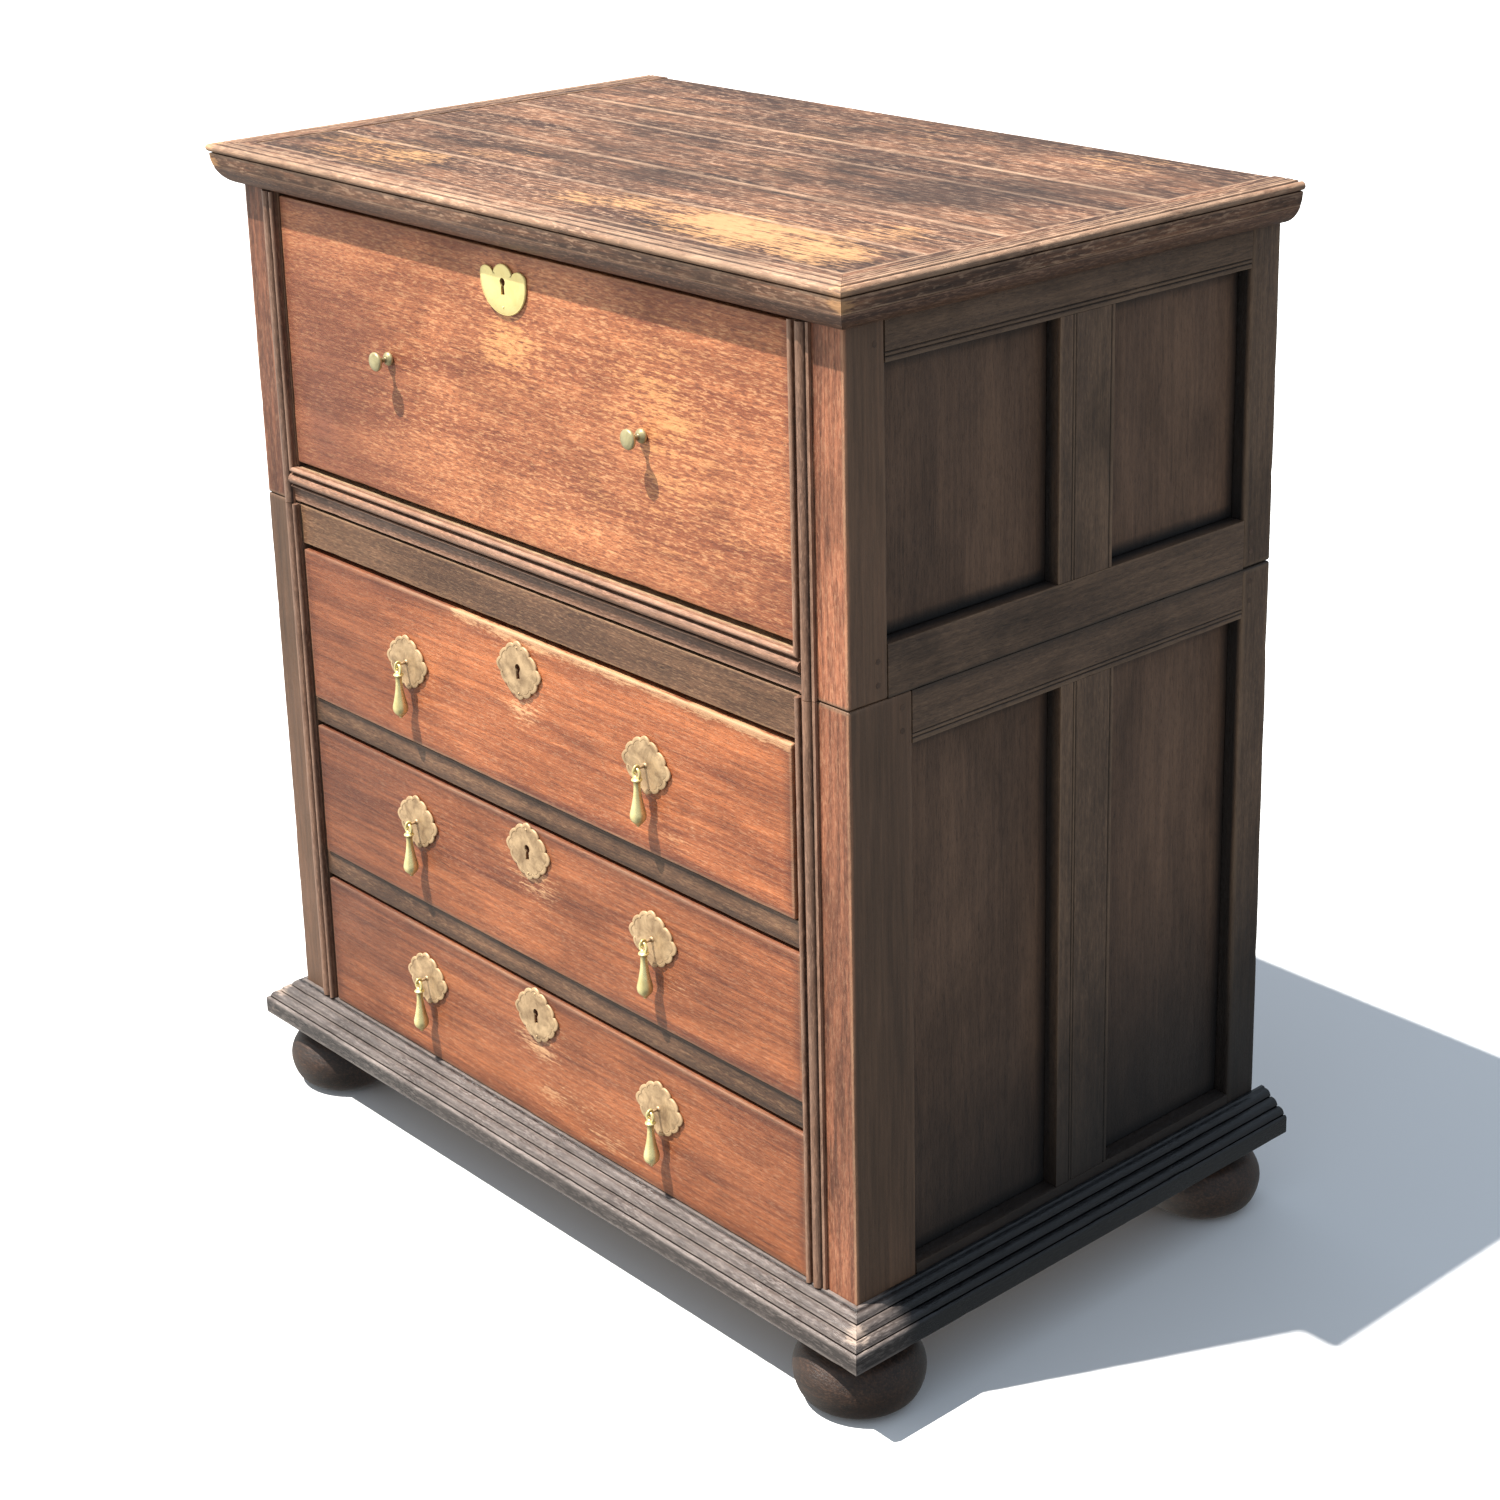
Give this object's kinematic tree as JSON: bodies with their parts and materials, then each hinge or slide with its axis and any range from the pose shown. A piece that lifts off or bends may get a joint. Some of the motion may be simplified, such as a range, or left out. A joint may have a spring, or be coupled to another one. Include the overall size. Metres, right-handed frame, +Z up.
{
  "type": "secretary desk",
  "caption": "Oak secretary desk on bun feet: an upper case with a fall front and pigeonholes, over a lower case of long drawers with brass drop pulls.",
  "frame": {"origin": "on the floor, under the middle of the desk's outline", "axes": "+Z up, the front of the desk faces -Y, +X to the right as seen from the front"},
  "size_m": [0.99, 0.623, 1.091],
  "materials": {
    "front_oak": "waxed red-brown quartered oak, satin",
    "side_oak": "dark waxed oak, satin",
    "top_oak": "worn waxed oak, satin",
    "moulding_oak": "dark waxed oak, satin",
    "inside_oak": "dry unwaxed oak, matt",
    "bright_brass": "polished, slightly worn",
    "dull_brass": "aged, dull"
  },
  "bodies": {
    "case": {"top_board": "top_oak", "cornice_front": "moulding_oak", "cornice_left": "moulding_oak", "cornice_right": "moulding_oak", "upper_side_frame_left": "side_oak", "upper_side_frame_right": "side_oak", "upper_side_panels_left": "side_oak", "upper_side_panels_right": "side_oak", "upper_back": "inside_oak", "upper_floor": "inside_oak", "upper_front_moulding": "moulding_oak", "lower_side_frame_left": "side_oak", "lower_side_frame_right": "side_oak", "lower_side_panels_left": "side_oak", "lower_side_panels_right": "side_oak", "lower_back": "inside_oak", "lower_top_rail": "moulding_oak", "lower_bottom_board": "inside_oak", "drawer_divider_lower": "moulding_oak", "drawer_divider_upper": "moulding_oak", "lower_bead_left": "moulding_oak", "lower_bead_right": "moulding_oak", "base_moulding_front": "moulding_oak", "base_moulding_left": "moulding_oak", "base_moulding_right": "moulding_oak", "foot_front_left": "moulding_oak", "foot_front_right": "moulding_oak", "foot_back_left": "moulding_oak", "foot_back_right": "moulding_oak"},
    "secretary_drawer": {"secretary_box": "inside_oak", "pigeonholes": "inside_oak", "fall_hinge_left": "dull_brass", "fall_hinge_right": "dull_brass"},
    "fall": {"fall_front": "front_oak", "fall_escutcheon": "bright_brass", "fall_knob_left": "bright_brass", "fall_knob_right": "bright_brass", "fall_stay_left": "dull_brass", "fall_stay_right": "dull_brass"},
    "drawer_lower": {"drawer_front_lower": "front_oak", "drawer_box_lower": "inside_oak", "drawer_escutcheon_lower": "dull_brass", "pull_plate_lower_left": "dull_brass", "pull_plate_lower_right": "dull_brass"},
    "drop_lower_left": {"drop_pull_lower_left": "bright_brass"},
    "drop_lower_right": {"drop_pull_lower_right": "bright_brass"},
    "drawer_middle": {"drawer_front_middle": "front_oak", "drawer_box_middle": "inside_oak", "drawer_escutcheon_middle": "dull_brass", "pull_plate_middle_left": "dull_brass", "pull_plate_middle_right": "dull_brass"},
    "drop_middle_left": {"drop_pull_middle_left": "bright_brass"},
    "drop_middle_right": {"drop_pull_middle_right": "bright_brass"},
    "drawer_upper": {"drawer_front_upper": "front_oak", "drawer_box_upper": "inside_oak", "drawer_escutcheon_upper": "dull_brass", "pull_plate_upper_left": "dull_brass", "pull_plate_upper_right": "dull_brass"},
    "drop_upper_left": {"drop_pull_upper_left": "bright_brass"},
    "drop_upper_right": {"drop_pull_upper_right": "bright_brass"}
  },
  "joints": [
    {"name": "secretary_slide", "type": "slide", "parent": "case", "child": "secretary_drawer", "axis": [0, -1, 0], "range_m": [0, 0.26]},
    {"name": "fall_hinge", "type": "hinge", "parent": "secretary_drawer", "child": "fall", "pos_m": [0, -0.2665, 0.7655], "axis": [1, 0, 0], "range_deg": [0, 90]},
    {"name": "drawer_lower_slide", "type": "slide", "parent": "case", "child": "drawer_lower", "axis": [0, -1, 0], "range_m": [0, 0.38]},
    {"name": "drop_lower_left_hinge", "type": "hinge", "parent": "drawer_lower", "child": "drop_lower_left", "pos_m": [-0.206, -0.2922, 0.2145], "axis": [-1, 0, 0], "range_deg": [0, 95]},
    {"name": "drop_lower_right_hinge", "type": "hinge", "parent": "drawer_lower", "child": "drop_lower_right", "pos_m": [0.184, -0.2922, 0.2145], "axis": [-1, 0, 0], "range_deg": [0, 95]},
    {"name": "drawer_middle_slide", "type": "slide", "parent": "case", "child": "drawer_middle", "axis": [0, -1, 0], "range_m": [0, 0.38]},
    {"name": "drop_middle_left_hinge", "type": "hinge", "parent": "drawer_middle", "child": "drop_middle_left", "pos_m": [-0.206, -0.2922, 0.398], "axis": [-1, 0, 0], "range_deg": [0, 95]},
    {"name": "drop_middle_right_hinge", "type": "hinge", "parent": "drawer_middle", "child": "drop_middle_right", "pos_m": [0.184, -0.2922, 0.398], "axis": [-1, 0, 0], "range_deg": [0, 95]},
    {"name": "drawer_upper_slide", "type": "slide", "parent": "case", "child": "drawer_upper", "axis": [0, -1, 0], "range_m": [0, 0.38]},
    {"name": "drop_upper_left_hinge", "type": "hinge", "parent": "drawer_upper", "child": "drop_upper_left", "pos_m": [-0.206, -0.2922, 0.5785], "axis": [-1, 0, 0], "range_deg": [0, 95]},
    {"name": "drop_upper_right_hinge", "type": "hinge", "parent": "drawer_upper", "child": "drop_upper_right", "pos_m": [0.184, -0.2922, 0.5785], "axis": [-1, 0, 0], "range_deg": [0, 95]}
  ]
}
